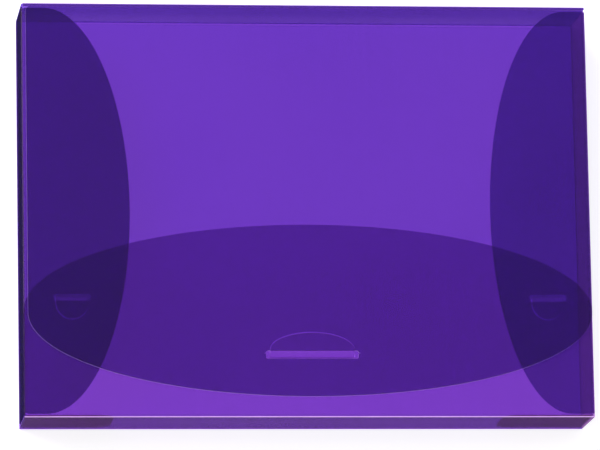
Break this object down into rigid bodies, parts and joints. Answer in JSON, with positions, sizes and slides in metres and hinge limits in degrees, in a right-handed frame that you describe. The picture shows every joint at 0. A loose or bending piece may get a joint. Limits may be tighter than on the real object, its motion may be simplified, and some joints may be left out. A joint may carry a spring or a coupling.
{
  "type": "document box",
  "caption": "Flat document box folded from one translucent plastic sheet, with a crowned lid, front and side flaps, corner tabs and tongue-and-slot locks.",
  "frame": {"origin": "centre of the back panel's outer face, with the box lying on its back", "axes": "+X across the box to its right-hand side as seen from the front, +Y towards the lid's crease, +Z out of the front"},
  "size_m": [0.33, 0.242, 0.051],
  "materials": {
    "sheet": "translucent purple polypropylene sheet, 0.8 mm, satin",
    "crease": "the same sheet, pressed and stretched paler along its creases"
  },
  "bodies": {
    "root": {"back_panel": "sheet", "bottom_wall": "sheet", "left_wall": "sheet", "right_wall": "sheet", "front_flap": "sheet", "bottom_back_crease": "crease", "top_back_crease": "crease", "left_back_crease": "crease", "right_back_crease": "crease", "front_flap_crease": "crease", "left_flap_crease": "crease", "right_flap_crease": "crease", "left_tab_crease": "crease", "right_tab_crease": "crease", "lock_tongue_crease": "crease"},
    "top_wall": {"top_wall": "sheet", "lid_crease": "crease"},
    "lid": {"lid": "sheet"},
    "lock_tongue": {"lock_tongue": "sheet"},
    "left_flap": {"left_flap": "sheet", "left_tongue": "sheet", "left_tongue_crease": "crease"},
    "right_flap": {"right_flap": "sheet", "right_tongue": "sheet", "right_tongue_crease": "crease"},
    "left_tab": {"left_tab": "sheet"},
    "right_tab": {"right_tab": "sheet"}
  },
  "joints": [
    {"name": "top_wall_fold", "type": "hinge", "parent": "root", "child": "top_wall", "pos_m": [0, 0.1202, 0.0008], "axis": [-1, 0, 0], "range_deg": [0, 90]},
    {"name": "lid_fold", "type": "hinge", "parent": "top_wall", "child": "lid", "pos_m": [0, 0.1202, 0.0492], "axis": [-1, 0, 0], "range_deg": [0, 180]},
    {"name": "lock_tongue_fold", "type": "hinge", "parent": "root", "child": "lock_tongue", "pos_m": [0.001, -0.08665, 0.0476], "axis": [1, 0, 0], "range_deg": [0, 50]},
    {"name": "left_flap_fold", "type": "hinge", "parent": "root", "child": "left_flap", "pos_m": [-0.1642, 0, 0.0462], "axis": [0, 1, 0], "range_deg": [0, 45]},
    {"name": "right_flap_fold", "type": "hinge", "parent": "root", "child": "right_flap", "pos_m": [0.1642, 0, 0.0462], "axis": [0, -1, 0], "range_deg": [0, 45]},
    {"name": "left_tab_fold", "type": "hinge", "parent": "root", "child": "left_tab", "pos_m": [-0.1642, -0.1192, 0.0235], "axis": [0, 0, -1], "range_deg": [-85, 0]},
    {"name": "right_tab_fold", "type": "hinge", "parent": "root", "child": "right_tab", "pos_m": [0.1642, -0.1192, 0.0235], "axis": [0, 0, 1], "range_deg": [-85, 0]}
  ]
}
